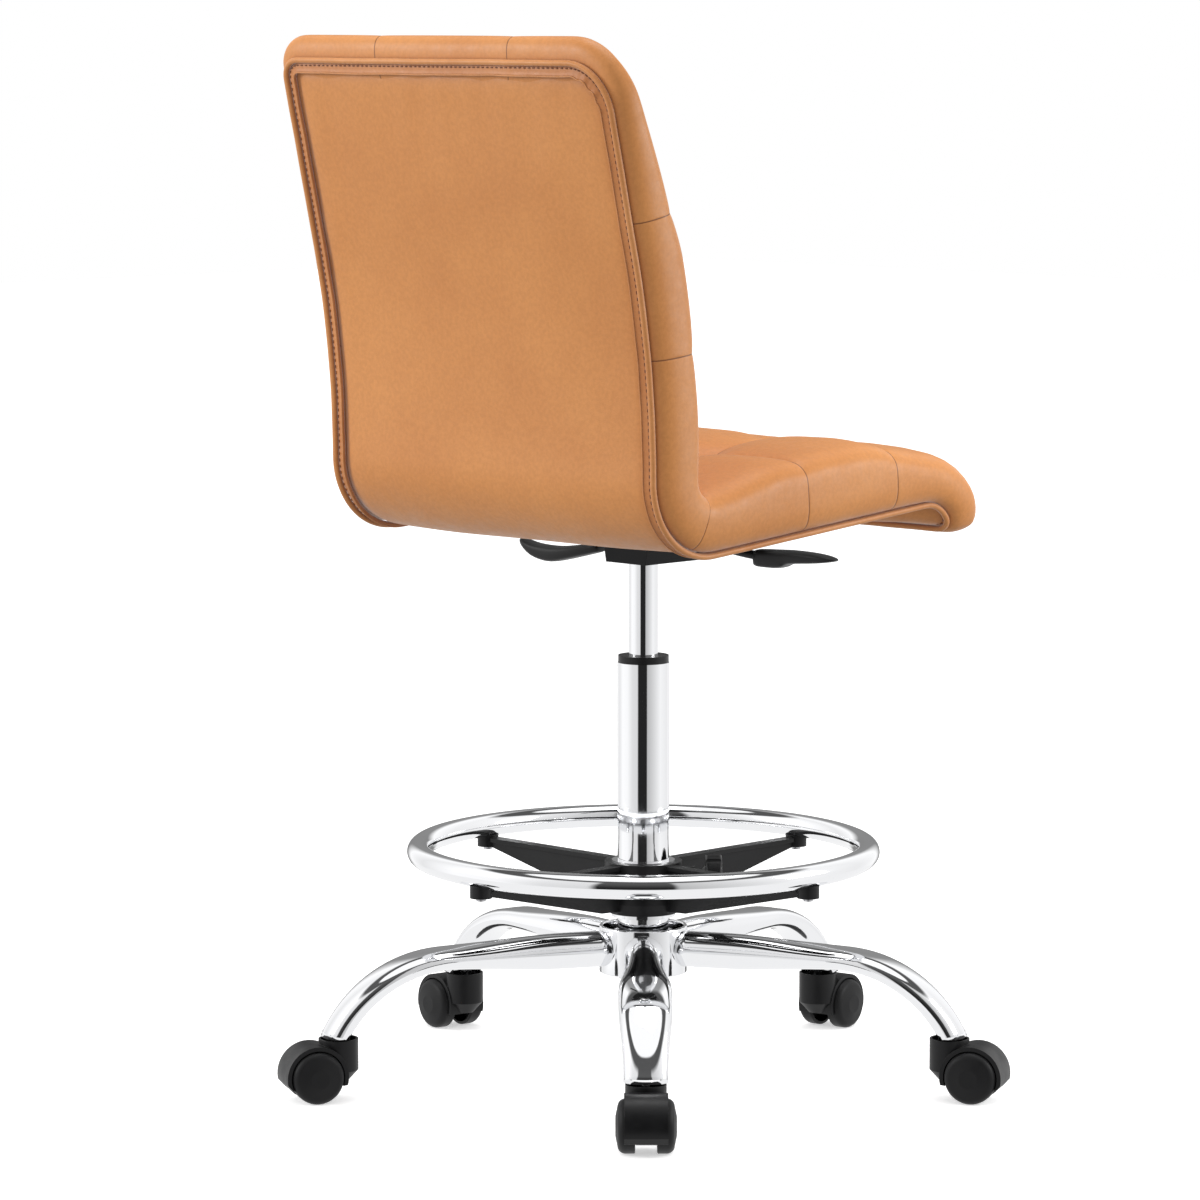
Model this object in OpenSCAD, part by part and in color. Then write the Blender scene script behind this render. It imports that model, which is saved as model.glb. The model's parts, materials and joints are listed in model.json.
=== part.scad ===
// Armless drafting chair: swivel and gas height adjustment, tilt, sliding foot ring, five-star base.
// Millimetres. Origin on the floor under the gas lift, +Z up, the sitter faces -Y.

/* [Seat and back] */
// Width over the side borders
seat_w = 444; // [420:2:470]
// Distance between the two piped edges of the rear panel
panel_w = 416; // [390:2:440]
// Thickness of the upholstery, rear panel to front face
pad_t = 58; // [50:1:64]
// Height of the lowest point of the seat under the bend
seat_z = 537; // [530:1:560]
// Radius of the bend between seat and back, on the outside
bend_r = 70; // [66:1:80]
// Rearward lean of the top of the back, degrees
lean = 13; // [8:1:16]
// Rise of the seat towards the front, degrees
rise = 5.2; // [3:0.1:7]

/* [Gas lift] */
// Outer diameter of the standing column
column_d = 50; // [50:0.5:51]
// Top of the column's plastic cap above the floor
column_top = 415; // [405:1:420]
// Diameter of the moving cylinder
lift_d = 28; // [28:0.5:28.5]

/* [Base] */
// Distance from the chair's axis to each caster's pivot
pivot_r = 306; // [302:1:310]
// Height of the middle of the legs at the hub
leg_z = 130.5; // [126:0.5:134]
// Outer diameter of the hub
hub_d = 85; // [82:1:88]
// Direction of the first leg, degrees from +X
first_leg = 135; // [0:1:359]
// Diameter of a caster wheel
wheel_d = 50; // [48:1:50]
// Distance that a wheel trails its pivot
trail = 25; // [22:1:26]

/* [Foot ring] */
// Diameter of the ring, centre to centre of its tube
ring_d = 434; // [420:2:440]
// Diameter of the ring's tube
ring_tube = 22.6; // [20:0.2:23]
// Height of the middle of the ring's tube
ring_z = 225; // [223:1:230]

/* [Hidden] */
$fn = 48;

gap = 0.05;              // running fit, on the radius
leg_count = 5;
leg_step = 360 / leg_count;
CHROME = "gainsboro";
STEEL = "silver";
BLACK = [0.13, 0.13, 0.13];
LEATHER = [0.80, 0.56, 0.36];

// ---- The L-shaped profile of seat and back, in the YZ plane ----
back_y = 200;                        // rearmost point of the bend
back_arc_r = 900;                    // the back curves rearwards at this radius
bend_y = back_y - bend_r;
bend_z = seat_z + bend_r;
back_run = 180;                      // straight stretch at the top of the back
seat_run = 292;                      // straight stretch under the seat
curl_r = 33;                         // the front of the seat curls down at this radius
curl = 85;                           // by this many degrees
nose_front = -268;                   // foremost point of the seat
skin = 3;                            // rear panel thickness
ply = 10;                            // seat shell thickness
pad_gap = 0.25;                      // rear panel to shell and pad
edge_w = 13;                         // border outside the shell, each side

function arc(cy, cz, r, a0, a1, n) =
    [for (i = [0 : n]) let (a = a0 + (a1 - a0) * i / n) [cy + r * cos(a), cz + r * sin(a)]];
// Outside profile moved in by d, from the curl (its angle) to the top of the back
function seat_start(d, run) = [
    bend_y - (bend_r - d) * sin(rise) - run * cos(rise),
    bend_z - (bend_r - d) * cos(rise) + run * sin(rise)];
function back_top(d, run) = [
    back_y + back_arc_r - (back_arc_r + d) * cos(lean) + run * sin(lean),
    bend_z + (back_arc_r + d) * sin(lean) + run * cos(lean)];
// The curl at the front, moved in by d, from the angle a back to its start
function front_curl(d, a, n) = let (c = seat_start(-curl_r, seat_run))
    arc(c[0], c[1], curl_r + d, 90 - rise + a, 90 - rise, n);
function l_profile(d, front, top) = concat(
    front_curl(d, front, 8),
    arc(bend_y, bend_z, bend_r - d, 270 - rise, 360, 10),
    arc(back_y + back_arc_r, bend_z, back_arc_r + d, 180, 180 - lean, 6),
    [back_top(d, top)]);
function reversed(v) = [for (i = [len(v) - 1 : -1 : 0]) v[i]];
// Height of the seat's underside above the point y
function under_z(y) = seat_start(0, 0)[1] + (seat_start(0, 0)[0] - y) * tan(rise);

// ---- The gas lift ----
column_r = column_d / 2;
column_bore = column_r - 2;
column_z = 100;
lift_r = lift_d / 2;
lift_bottom = 206;
taper_z = 505;                       // where the cylinder's taper enters the housing
taper_top = 529;
taper_r = 13.2;
rod_r = 5;
piston_z = 356;
button_r = 4;
button_top = 532;

// ---- The mechanism under the seat ----
house_z = 505;
house_top = 529;
house_y0 = -74;
house_y1 = 24.5;
house_x0 = 26.5;                     // half width at the bottom
house_x1 = 31;                       // half width at the top
wall = 2.5;
tilt_y = -60;                        // tilt pivot
tilt_z = 519;
pin_r = 5;
lever_y = -45;
lever_z = 521;
lever_x = 28.3;                      // middle of the housing wall
lever_r = 4.3;
lock_drop = 14;                      // the lock lever hangs this far down, degrees

// ---- The hub and the legs ----
hub_r = hub_d / 2;
hub_z0 = 106;
hub_z1 = 152;
leg_straight = 195;                  // the leg starts to bend down here
leg_arc_r = 128;
leg_arc = 65;
leg_wall = 1.8;
leg_cut = 61;                        // height of the leg's open end
leg_sides = 20;
function smooth(t) = let (u = min(1, max(0, t))) u * u * (3 - 2 * u);
// Half width and half height of the leg at the distance s along it
function leg_half_w(s) = 19 + 6 * smooth((s - 110) / 120) - 4.5 * smooth((s - 250) / 80);
function leg_half_h(s) = 17.3 - 6.3 * smooth((s - 80) / 130) + 0.8 * smooth((s - 240) / 90);
// Middle line of the leg: [distance out, height, slope]
function leg_line(s) = s <= leg_straight ? [s, leg_z, 0]
    : let (a = (s - leg_straight) / leg_arc_r * 180 / PI)
      [leg_straight + leg_arc_r * sin(a), leg_z - leg_arc_r * (1 - cos(a)), a];
function leg_ring(s, shrink) = let (c = leg_line(s))
    [for (i = [0 : leg_sides - 1]) let (a = i * 360 / leg_sides,
        w = (leg_half_w(s) - shrink) * cos(a), h = (leg_half_h(s) - shrink) * sin(a))
        [c[0] + h * sin(c[2]), w, c[1] + h * cos(c[2])]];
// First ring lies on the hub, last ring in the plane of the open end
function on_hub(p) = let (r = hub_r + 0.12) [sqrt(r * r - p[1] * p[1]), p[1], p[2]];
function at_cut(p, z) = [p[0] + (p[2] - z) / tan(leg_arc), p[1], z];
leg_end = leg_straight + leg_arc_r * leg_arc * PI / 180;
leg_stations = [60, 90, 120, 150, 180, 205, 230, 255, 275, 295, 315];
plug_stations = [295, 315];          // the same stations as the leg's, so the walls run parallel

// ---- Casters ----
wheel_r = wheel_d / 2;
neck_r = 19;
neck_top = 59;
hood_r = 30;
hood_half = 20;
web_half = 9.5;
wheel_in = 10;
wheel_out = 28;
axle_r = 3;
stem_r = 5.5;
stem_in = 12.5;          // height of the stem inside the leg
plug_gap = 0.3;          // moulded plug to tube wall
spigot_r = 4;

// ---- Foot ring ----
ring_r = ring_d / 2;
tube_r = ring_tube / 2;
spider_z0 = 165;
spider_z1 = 215;
spider_r = 37.5;
sleeve_r = 30.5;
arm_end_z = ring_z - tube_r - 9.5;
knob_z = 196;
knob_angle = 225;
knob_r = 25;
knob_in = 57;
knob_t = 19;
stud_r = 4;
pad_in = 31;
pad_r = 7;

// ---- Shared shapes ----
module tube(r_out, r_in, z0, z1) {
    translate([0, 0, z0]) difference() {
        cylinder(r = r_out, h = z1 - z0);
        translate([0, 0, -1]) cylinder(r = r_in, h = z1 - z0 + 2);
    }
}
// A closed tube of mesh: rings of equal count, joined end to end when loop is true
module skin_rings(rings, loop = false) {
    n = len(rings[0]);
    m = len(rings);
    sides = [for (j = [0 : m - (loop ? 1 : 2)], i = [0 : n - 1]) let (k = (j + 1) % m)
        [j * n + i, j * n + (i + 1) % n, k * n + (i + 1) % n, k * n + i]];
    ends = loop ? [] : [[for (i = [n - 1 : -1 : 0]) i], [for (i = [0 : n - 1]) (m - 1) * n + i]];
    polyhedron(points = [for (r = rings, p = r) p], faces = concat(sides, ends), convexity = 8);
}
module around(count) for (k = [0 : count - 1]) rotate([0, 0, k * 360 / count]) children();
module at_leg(k) rotate([0, 0, first_leg + k * leg_step]) children();
module at_caster(k) at_leg(k) translate([pivot_r, 0, 0]) children();
// Frame of the seat's underside: local z = 0 is its outer face
module on_seat() translate([0, 0, under_z(0)]) rotate([-rise, 0, 0]) children();
// Extrude a YZ outline across the chair
module across(width) {
    rotate([90, 0, 90]) translate([0, 0, -width / 2]) linear_extrude(height = width) children();
}
module round_rect(x0, y0, x1, y1, r) {
    translate([x0 + r, y0]) square([x1 - x0 - 2 * r, y1 - y0]);
    translate([x0, y0 + r]) square([x1 - x0, y1 - y0 - 2 * r]);
    for (x = [x0 + r, x1 - r], y = [y0 + r, y1 - r]) translate([x, y]) circle(r = r);
}
// Keeps what lies inside the rounded outline of the back and of the seat
module shell_mask(half, top, front, r_top, r_front) {
    translate([0, 400, 0]) rotate([90, 0, 0]) linear_extrude(height = 500)
        round_rect(-half, 620, half, top, r_top);
    translate([0, 0, 400]) linear_extrude(height = 260) round_rect(-half, front, half, 300, r_front);
}

// ---- Base ----
module base_hub() color(CHROME) {
    tube(hub_r, hub_r - 3.5, hub_z0, hub_z1);
}
module hub_socket() color(CHROME) {
    rotate_extrude($fn = 96) polygon([
        [23.9 + 0.6 * (hub_z0 - column_z) / 60, hub_z0], [30, hub_z0], [30, 116],
        [hub_r - 3.5, 116], [hub_r - 3.5, 121], [29, 121], [29, 146],
        [23.9 + 0.6 * (146 - column_z) / 60, 146]]);
}
module leg_tube() color(CHROME) {
    outer = concat([[for (p = leg_ring(60, 0)) on_hub(p)]],
        [for (s = leg_stations) leg_ring(s, 0)], [[for (p = leg_ring(leg_end, 0)) at_cut(p, leg_cut)]]);
    inner = concat([[for (p = leg_ring(60, leg_wall)) on_hub(p)]],
        [for (s = leg_stations) leg_ring(s, leg_wall)],
        [[for (p = leg_ring(leg_end, leg_wall)) at_cut(p, leg_cut)]]);
    skin_rings(concat(outer, reversed(inner)), loop = true);
}
module caster_sockets() color(BLACK) for (k = [0 : leg_count - 1]) at_leg(k) difference() {
    skin_rings(concat([for (s = plug_stations) leg_ring(s, leg_wall + plug_gap)],
        [[for (p = leg_ring(leg_end, leg_wall + plug_gap)) at_cut(p, leg_cut)]]));
    translate([pivot_r, 0, leg_cut - 1]) cylinder(r = stem_r, h = stem_in + 2);
}
module caster_stems() color(STEEL) for (k = [0 : leg_count - 1]) at_caster(k) {
    translate([0, 0, leg_cut - 1.6]) cylinder(r = 7.5, h = 1.6);
    translate([0, 0, leg_cut]) cylinder(r = stem_r, h = stem_in);
    translate([0, 0, 37]) cylinder(r = spigot_r, h = leg_cut - 1.6 - 37);
}

// ---- Gas lift ----
module column_tube() color(CHROME) {
    difference() {
        rotate_extrude($fn = 96) polygon([
            [0, column_z], [23.9, column_z], [24.5, 160], [column_r, 161], [column_r, column_top - 7],
            [column_bore, column_top - 7], [column_bore, 163], [21.9, 161], [21.9, column_z + 3],
            [0, column_z + 3]]);
        translate([0, 0, column_z - 1]) cylinder(r = rod_r + gap, h = 5);
    }
}
module column_bush() color(BLACK) {
    tube(column_bore, lift_r + gap, 330, column_top - 7);
    tube(column_r - 0.6, lift_r + gap, column_top - 7, column_top);
}
module thrust_bearing() color(STEEL) {
    tube(15, rod_r + 1, column_z + 3, column_z + 4.5);
    around(9) translate([10.5, 0, column_z + 6.6]) sphere(r = 2);
    tube(15, rod_r + 1, column_z + 8.7, column_z + 10.2);
}
module piston_rod() color(CHROME) {
    translate([0, 0, column_z - 4]) cylinder(r = rod_r, h = piston_z + 14 - column_z + 4);
    translate([0, 0, column_z + 10.5]) cylinder(r = 9, h = 2.5);
}
module piston_head() color(STEEL) tube(12.25 - gap, rod_r, piston_z, piston_z + 12);
module bump_stop() color(BLACK) tube(11, rod_r, column_z + 13, column_z + 33);
module column_clip() color(STEEL) tube(9, rod_r, column_z - 2.5, column_z - 0.5);
module lift_cylinder() color(CHROME) difference() {
    union() {
        translate([0, 0, lift_bottom]) cylinder(r = lift_r, h = taper_z - lift_bottom);
        translate([0, 0, taper_z]) cylinder(r1 = lift_r, r2 = taper_r, h = taper_top - taper_z);
    }
    translate([0, 0, lift_bottom - 1]) cylinder(r = 12.25, h = 265);
    translate([0, 0, taper_top - 17]) cylinder(r = button_r + gap, h = 20);
}
module cylinder_gland() color(BLACK) tube(12.25, rod_r + gap, lift_bottom, lift_bottom + 16);
module release_button() color(STEEL) {
    translate([0, 0, button_top - 16]) cylinder(r = button_r, h = 16);
}

// ---- Mechanism ----
module tilt_housing() color(BLACK) difference() {
    union() {
        difference() {
            trough(0, house_z, house_y0, house_y1);
            trough(wall, house_z + wall, house_y0 + wall, house_y1 - wall);
        }
        translate([0, 0, house_z + 1]) cylinder(r = 17.5, h = taper_top - house_z - 1);
    }
    translate([0, 0, taper_z]) cylinder(r1 = lift_r, r2 = taper_r, h = taper_top - taper_z);
    translate([-40, tilt_y, tilt_z]) rotate([0, 90, 0]) cylinder(r = pin_r, h = 80);
    translate([-40, lever_y, lever_z]) rotate([0, 90, 0]) cylinder(r = lever_r + 0.9, h = 80);
}
module trough(inset, z0, y0, y1) {
    x0 = house_x0 - inset + (z0 - house_z) * (house_x1 - house_x0) / (house_top - house_z);
    translate([0, y1, 0]) rotate([90, 0, 0]) linear_extrude(height = y1 - y0) polygon([
        [-x0, z0], [x0, z0], [house_x1 - inset, house_top + (inset > 0 ? 0.01 : 0)],
        [inset - house_x1, house_top + (inset > 0 ? 0.01 : 0)]]);
}
module pivot_pin() color(STEEL) translate([0, tilt_y, tilt_z]) rotate([0, 90, 0]) {
    translate([0, 0, -38.5]) cylinder(r = pin_r, h = 77);
    for (z = [-40.5, 38.5]) translate([0, 0, z]) cylinder(r = 7, h = 2);
}
// One torsion spring on the pivot pin at each side
module tilt_springs() color(STEEL) for (x = [-22, 8]) {
    coil_r = 7.2;
    wire_r = 1.2;
    skin_rings([for (t = [0 : 24 : 360 * 4]) [for (i = [0 : 7])
        let (a = i * 45, r = coil_r + wire_r * cos(a))
        [x + 14 * t / 1440 + wire_r * sin(a), tilt_y + r * cos(t), tilt_z + r * sin(t)]]]);
}
module lift_lever() color(BLACK) {
    translate([-150, lever_y, lever_z]) rotate([0, 90, 0]) cylinder(r = lever_r, h = 126);
    translate([-26, lever_y - 4, lever_z - 2]) cube([4, 8, 17.2]);
    translate([-26, lever_y - 4, button_top + 0.3]) cube([32, 49 + 5, 3.9]);
}
module lift_handle() color(BLACK) paddle(-1, -112, -162, -218);
module lock_lever() color(BLACK) lock_turn() {
    translate([22, lever_y, lever_z]) rotate([0, 90, 0]) cylinder(r = lever_r, h = 110);
    translate([18, lever_y - 4, lever_z - 4]) cube([5, 8, 12]);
}
module lock_handle() color(BLACK) lock_turn() paddle(1, 104, 160, 214);
// Turns the lock lever down about its pivot in the housing wall
module lock_turn() {
    translate([lever_x, 0, lever_z]) rotate([0, lock_drop, 0]) translate([-lever_x, 0, -lever_z]) children();
}
// Lever handle: a sleeve round the rod that runs out into a flat paddle; side is -1 or 1
module paddle(side, start, sleeve_end, tip) difference() {
    translate([0, lever_y + 10, lever_z]) rotate([90, 0, 0]) linear_extrude(height = 20) polygon([
        [start, -7.5], [sleeve_end - side * 6, -8.5], [sleeve_end, -3], [tip - side * 10, -2.5],
        [tip, 2], [tip - side * 2, 5], [sleeve_end, 8.5], [start, 8]]);
    translate([0, lever_y, lever_z]) rotate([0, side * 90, 0])
        translate([0, 0, abs(start) - 1]) cylinder(r = lever_r, h = side > 0 ? 29 : 39);
}
module seat_plate() color(BLACK) difference() {
    union() {
        on_seat() translate([0, 0, -4]) linear_extrude(height = 4) round_rect(-95, -95, 95, 95, 14);
        for (x = [-37, 34]) translate([x, tilt_y, tilt_z]) rotate([90, 0, 90])
            linear_extrude(height = 3) {
                circle(r = 9);
                translate([-9, 0]) square([17, under_z(tilt_y) - tilt_z - 2.5]);
            }
    }
    translate([-45, tilt_y, tilt_z]) rotate([0, 90, 0]) cylinder(r = pin_r + gap, h = 90);
    bolt_pattern(-6, 8, 3);
    // Window over the release button and the lift lever's tongue
    on_seat() translate([-30, -68, -6]) cube([60, 98, 8]);
}
module bolt_pattern(z0, h, r) {
    on_seat() for (x = [-78, 78], y = [-76, 76]) translate([x, y, z0]) cylinder(r = r, h = h);
}
module seat_bolts() color(STEEL) {
    bolt_pattern(-4, skin + ply + 3.5, 3);
    on_seat() for (x = [-78, 78], y = [-76, 76]) translate([x, y, -8]) cylinder(r = 5.6, h = 4, $fn = 6);
}
module seat_t_nuts() color(STEEL) difference() {
    union() {
        bolt_pattern(skin + ply, 1.5, 9);
        bolt_pattern(skin + 1, ply - 1, 4.2);
    }
    bolt_pattern(0, 20, 3);
}

// ---- Seat ----
module seat_shell() color("burlywood") difference() {
    intersection() {
        across(panel_w - 20) polygon(concat(l_profile(skin + pad_gap, 50, 170), reversed(l_profile(skin + ply, 50, 170))));
        shell_mask(panel_w / 2 - 10, back_top(0, 175)[1], -230, 30, 40);
    }
    bolt_pattern(skin - 1, ply + 2, 4.2);
}
module cushion() color(LEATHER) difference() {
    intersection() {
        across(seat_w) polygon(concat(
            l_profile(skin + pad_gap, curl, 186),
            [back_top(skin + 14, 204), back_top(pad_t - 26, 204), back_top(pad_t - 8, 196)],
            reversed(l_profile(pad_t, curl - 30, 176)),
            arc(nose_front + 27, 561, 27, 150, 300, 8)));
        shell_mask(seat_w / 2, 1010, nose_front - 2, 44, 44);
    }
    across(panel_w - 20) polygon(concat(l_profile(skin - 1, 50, 170), reversed(l_profile(skin + ply, 50, 170))));
    bolt_pattern(skin + ply - 1, 2.5, 9);
    bolt_pattern(skin + ply - 1, 6, 3);
}
module back_panel() color(LEATHER) difference() {
    intersection() {
        across(panel_w - 8) polygon(concat(
            l_profile(0, curl - 14, back_run), reversed(l_profile(skin, curl - 14, back_run))));
        shell_mask(panel_w / 2 - 4.5, back_top(0, back_run - 5)[1], -230, 30, 12);
    }
    bolt_pattern(-1, skin + 2, 3);
}
// The piped edge: up one side, over the top, down the other side and back under the front
pipe_r = 3.5;
pipe_out = -1;
pipe_corner = 34;
pipe_x = panel_w / 2;
function pipe_side() = concat(
    l_profile(pipe_out, curl - 14, 0), [back_top(pipe_out, back_run - pipe_corner)]);
function pipe_path() = let (side = pipe_side(), n = len(side), up = 90 / 6) concat(
    [for (p = side) [-pipe_x, p[0], p[1]]],
    [for (i = [1 : 6]) let (q = back_top(pipe_out, back_run - pipe_corner * (1 - sin(i * up))))
        [-pipe_x + pipe_corner * (1 - cos(i * up)), q[0], q[1]]],
    [for (i = [6 : -1 : 1]) let (q = back_top(pipe_out, back_run - pipe_corner * (1 - sin(i * up))))
        [pipe_x - pipe_corner * (1 - cos(i * up)), q[0], q[1]]],
    [for (p = reversed(side)) [pipe_x, p[0], p[1]]],
    [for (i = [1 : 3]) let (q = front_curl(pipe_out, curl - 14 + 14 * sin(i * 30), 1)[0])
        [pipe_x - 8 * (1 - cos(i * 30)), q[0], q[1]]],
    [for (i = [3 : -1 : 1]) let (q = front_curl(pipe_out, curl - 14 + 14 * sin(i * 30), 1)[0])
        [-pipe_x + 8 * (1 - cos(i * 30)), q[0], q[1]]]);
module piping() color(LEATHER) {
    path = pipe_path();
    n = len(path);
    skin_rings([for (i = [0 : n - 1])
        let (ahead = path[(i + 1) % n] - path[(i + n - 1) % n], t = ahead / norm(ahead),
            side_dir = cross(t, abs(t[0]) > 0.9 ? [0, 0, 1] : [1, 0, 0]), u = side_dir / norm(side_dir),
            v = cross(u, t))
        [for (k = [0 : 7]) path[i] + pipe_r * (u * cos(45 * k) - v * sin(45 * k))]], loop = true);
}

// ---- Foot ring ----
module clamp_sleeve() color(CHROME) tube(sleeve_r, column_r + gap, 161, 216);
module ring_spider() color(BLACK) difference() {
    union() {
        rotate_extrude($fn = 96) polygon([
            [sleeve_r + gap, spider_z0], [34, spider_z0], [spider_r, 176], [spider_r, spider_z1],
            [sleeve_r + gap, spider_z1]]);
        around(4) spider_arm();
        rotate([0, 90, knob_angle]) translate([-knob_z, 0, 34]) cylinder(r = 13, h = 16);
    }
    rotate([0, 90, knob_angle]) translate([-knob_z, 0, 20]) cylinder(r = stud_r + gap, h = 60);
    rotate([0, 90, knob_angle]) translate([-knob_z, 0, 20]) cylinder(r = pad_r + gap, h = 17);
    around(4) translate([ring_r, 0, arm_end_z - 1]) cylinder(r = 2.5, h = 20);
    translate([0, 0, ring_z]) rotate_extrude($fn = 96) translate([ring_r, 0]) circle(r = tube_r);
}
module spider_arm() {
    translate([0, 3.5, 0]) rotate([90, 0, 0]) linear_extrude(height = 7) polygon([
        [34, 169], [60, 170], [ring_r - 9, arm_end_z], [ring_r - 9, 213], [34, 213]]);
    translate([34, -6.5, 209.5]) cube([ring_r - 44, 13, 4]);
    translate([ring_r, 0, arm_end_z]) cylinder(r = 10.5, h = 12);
}
module foot_ring() color(CHROME) difference() {
    translate([0, 0, ring_z]) rotate_extrude($fn = 96) translate([ring_r, 0]) difference() {
        circle(r = tube_r);
        circle(r = tube_r - 1.5);
    }
    around(4) translate([ring_r, 0, ring_z - tube_r - 3]) cylinder(r = 2.5, h = 8);
}
module ring_screws() color(STEEL) around(4) {
    translate([ring_r, 0, arm_end_z - 3]) cylinder(r = 4.5, h = 3);
    translate([ring_r, 0, arm_end_z]) cylinder(r = 2.5, h = 13);
}
module radial(z) rotate([0, 0, knob_angle]) translate([0, 0, z]) rotate([0, 90, 0]) children();
module pressure_pad() color("darkgoldenrod") radial(knob_z) {
    translate([0, 0, pad_in]) cylinder(r = pad_r, h = 3);
}
module knob_stud() color(STEEL) radial(knob_z) translate([0, 0, pad_in + 3.3]) {
    cylinder(r = stud_r, h = knob_in + 11 - pad_in - 3.3);
}
module lock_knob() color(BLACK) radial(knob_z) translate([0, 0, knob_in]) difference() {
    rotate_extrude($fn = 64) polygon(concat(
        [[0, 0], [11, 0], [14, 3], [knob_r - 3, 3]], arc(knob_r - 3, 6, 3, 270, 360, 4),
        arc(knob_r - 3, knob_t - 3, 3, 0, 90, 4), [[17, knob_t], [16, knob_t - 1.5], [0, knob_t - 1.5]]));
    around(10) translate([knob_r + 3.4, 0, -1]) cylinder(r = 5, h = knob_t + 2, $fn = 24);
    translate([0, 0, -1]) cylinder(r = stud_r, h = 12);
}

// ---- Casters, in the frame of their pivot, trailing along +X ----
module caster_hood() color(BLACK) difference() {
    union() {
        translate([0, 0, 29]) cylinder(r = neck_r, h = neck_top - 29);
        translate([0, 0, 18]) cylinder(r1 = 9, r2 = neck_r, h = 11);
        intersection() {
            translate([trail, hood_half, wheel_r]) rotate([90, 0, 0]) cylinder(r = hood_r, h = 2 * hood_half);
            translate([0, 30, 0]) rotate([90, 0, 0]) linear_extrude(height = 60)
                polygon([[-20, 19], [trail + 18, 11], [trail + 24, 13], [trail + 31, 21], [trail + 31, 60], [-20, 60]]);
        }
    }
    for (s = [-1, 1]) translate([trail, s > 0 ? web_half + 30 : -web_half, wheel_r])
        rotate([90, 0, 0]) cylinder(r = wheel_r + 1, h = 30);
    translate([0, 0, 36]) cylinder(r = spigot_r + gap, h = 40);
    difference() {
        translate([0, 0, 54.5]) cylinder(r = neck_r - 2, h = 20);
        translate([0, 0, 52]) cylinder(r = 7, h = 5.5);
        around(4) rotate([0, 0, 45]) translate([0, -1, 52]) cube([neck_r, 2, 5]);
    }
    translate([trail, 30, wheel_r]) rotate([90, 0, 0]) cylinder(r = axle_r, h = 60);
}
module caster_axle() color(STEEL) {
    translate([trail, 24, wheel_r]) rotate([90, 0, 0]) cylinder(r = axle_r, h = 48);
}
// side is -1 or 1: the wheel's domed face looks outwards
module caster_wheel(side) color(BLACK) translate([trail, 0, wheel_r]) rotate([side > 0 ? -90 : 90, 0, 0])
    difference() {
        rotate_extrude($fn = 96) polygon(concat(
            [[0, wheel_in + 0.5], [7, wheel_in + 0.5], [7, wheel_in + 12], [wheel_r - 4, wheel_in + 12],
             [wheel_r - 3, wheel_in], [wheel_r - 0.8, wheel_in], [wheel_r, wheel_in + 0.8]],
            arc(wheel_r - 7, wheel_out - 9, 7, 0, 75, 6), [[9, wheel_out], [0, wheel_out]]));
        translate([0, 0, 0]) cylinder(r = axle_r + gap, h = wheel_out - 3.5);
    }

base_hub();
hub_socket();
for (k = [1 : leg_count]) at_leg(k - 1) leg_tube();
caster_sockets();
caster_stems();
column_tube();
column_bush();
thrust_bearing();
piston_rod();
piston_head();
bump_stop();
column_clip();
lift_cylinder();
cylinder_gland();
release_button();
tilt_housing();
pivot_pin();
tilt_springs();
lift_lever();
lift_handle();
lock_lever();
lock_handle();
seat_plate();
seat_bolts();
seat_t_nuts();
seat_shell();
cushion();
back_panel();
piping();
clamp_sleeve();
ring_spider();
foot_ring();
ring_screws();
pressure_pad();
knob_stud();
lock_knob();
for (k = [1 : leg_count]) {
    at_caster(k - 1) caster_hood();
    at_caster(k - 1) caster_axle();
    at_caster(k - 1) caster_wheel(1);
    at_caster(k - 1) caster_wheel(-1);
}
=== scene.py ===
import json
import math

import bpy
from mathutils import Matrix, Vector, noise


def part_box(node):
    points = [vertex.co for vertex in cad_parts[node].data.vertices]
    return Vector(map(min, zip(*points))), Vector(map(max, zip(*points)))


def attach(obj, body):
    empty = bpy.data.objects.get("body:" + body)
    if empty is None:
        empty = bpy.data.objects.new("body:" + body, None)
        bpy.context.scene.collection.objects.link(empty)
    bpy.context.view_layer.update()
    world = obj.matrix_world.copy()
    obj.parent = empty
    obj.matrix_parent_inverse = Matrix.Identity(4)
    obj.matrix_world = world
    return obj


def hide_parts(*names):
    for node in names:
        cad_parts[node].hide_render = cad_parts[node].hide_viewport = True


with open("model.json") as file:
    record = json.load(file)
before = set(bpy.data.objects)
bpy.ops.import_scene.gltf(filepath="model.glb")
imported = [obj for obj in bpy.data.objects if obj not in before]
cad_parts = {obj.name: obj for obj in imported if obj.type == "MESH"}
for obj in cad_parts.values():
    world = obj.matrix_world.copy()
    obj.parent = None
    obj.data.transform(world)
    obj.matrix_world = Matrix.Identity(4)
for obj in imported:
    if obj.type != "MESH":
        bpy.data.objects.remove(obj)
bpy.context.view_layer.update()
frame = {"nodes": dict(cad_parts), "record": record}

# ---- Camera ------------------------------------------------------------------------------------
EYE = Vector((-3.4833, 3.5425, 1.0329))
TARGET = Vector((0.0296, 0.0296, 0.468))
LENS_MM = 156.0

# ---- Upholstery, in metres: the CAD's L-shaped profile, 5 mm wider and 3 mm further back -------
BACK_Y = 0.203
BEND_R = 0.070
SEAT_Z = 0.537
LEAN = math.radians(13)
RISE = math.radians(5.2)
BACK_ARC_R = 0.900
SEAT_RUN = 0.295
CURL_R = 0.033
CURL = math.radians(85)
BACK_RUN = 0.180
BEND_Y = BACK_Y - BEND_R
BEND_Z = SEAT_Z + BEND_R
PIPE_X = 0.213                  # half width over the piped edge
PAD_T = 0.058                   # thickness of the pad
SIDE_BULGE = 0.0135             # the border stands this far outside the piping at the sides
TOP_BULGE = 0.021               # and this far above it at the top
FRONT_BULGE = 0.008             # and below it at the front
COLUMN_SEAM_X = 0.088           # lengthwise channel seams
ROW_SEAMS = (0.101, 0.225, 0.374, 0.571, 0.697)   # cross seams, distance along the profile

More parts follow.
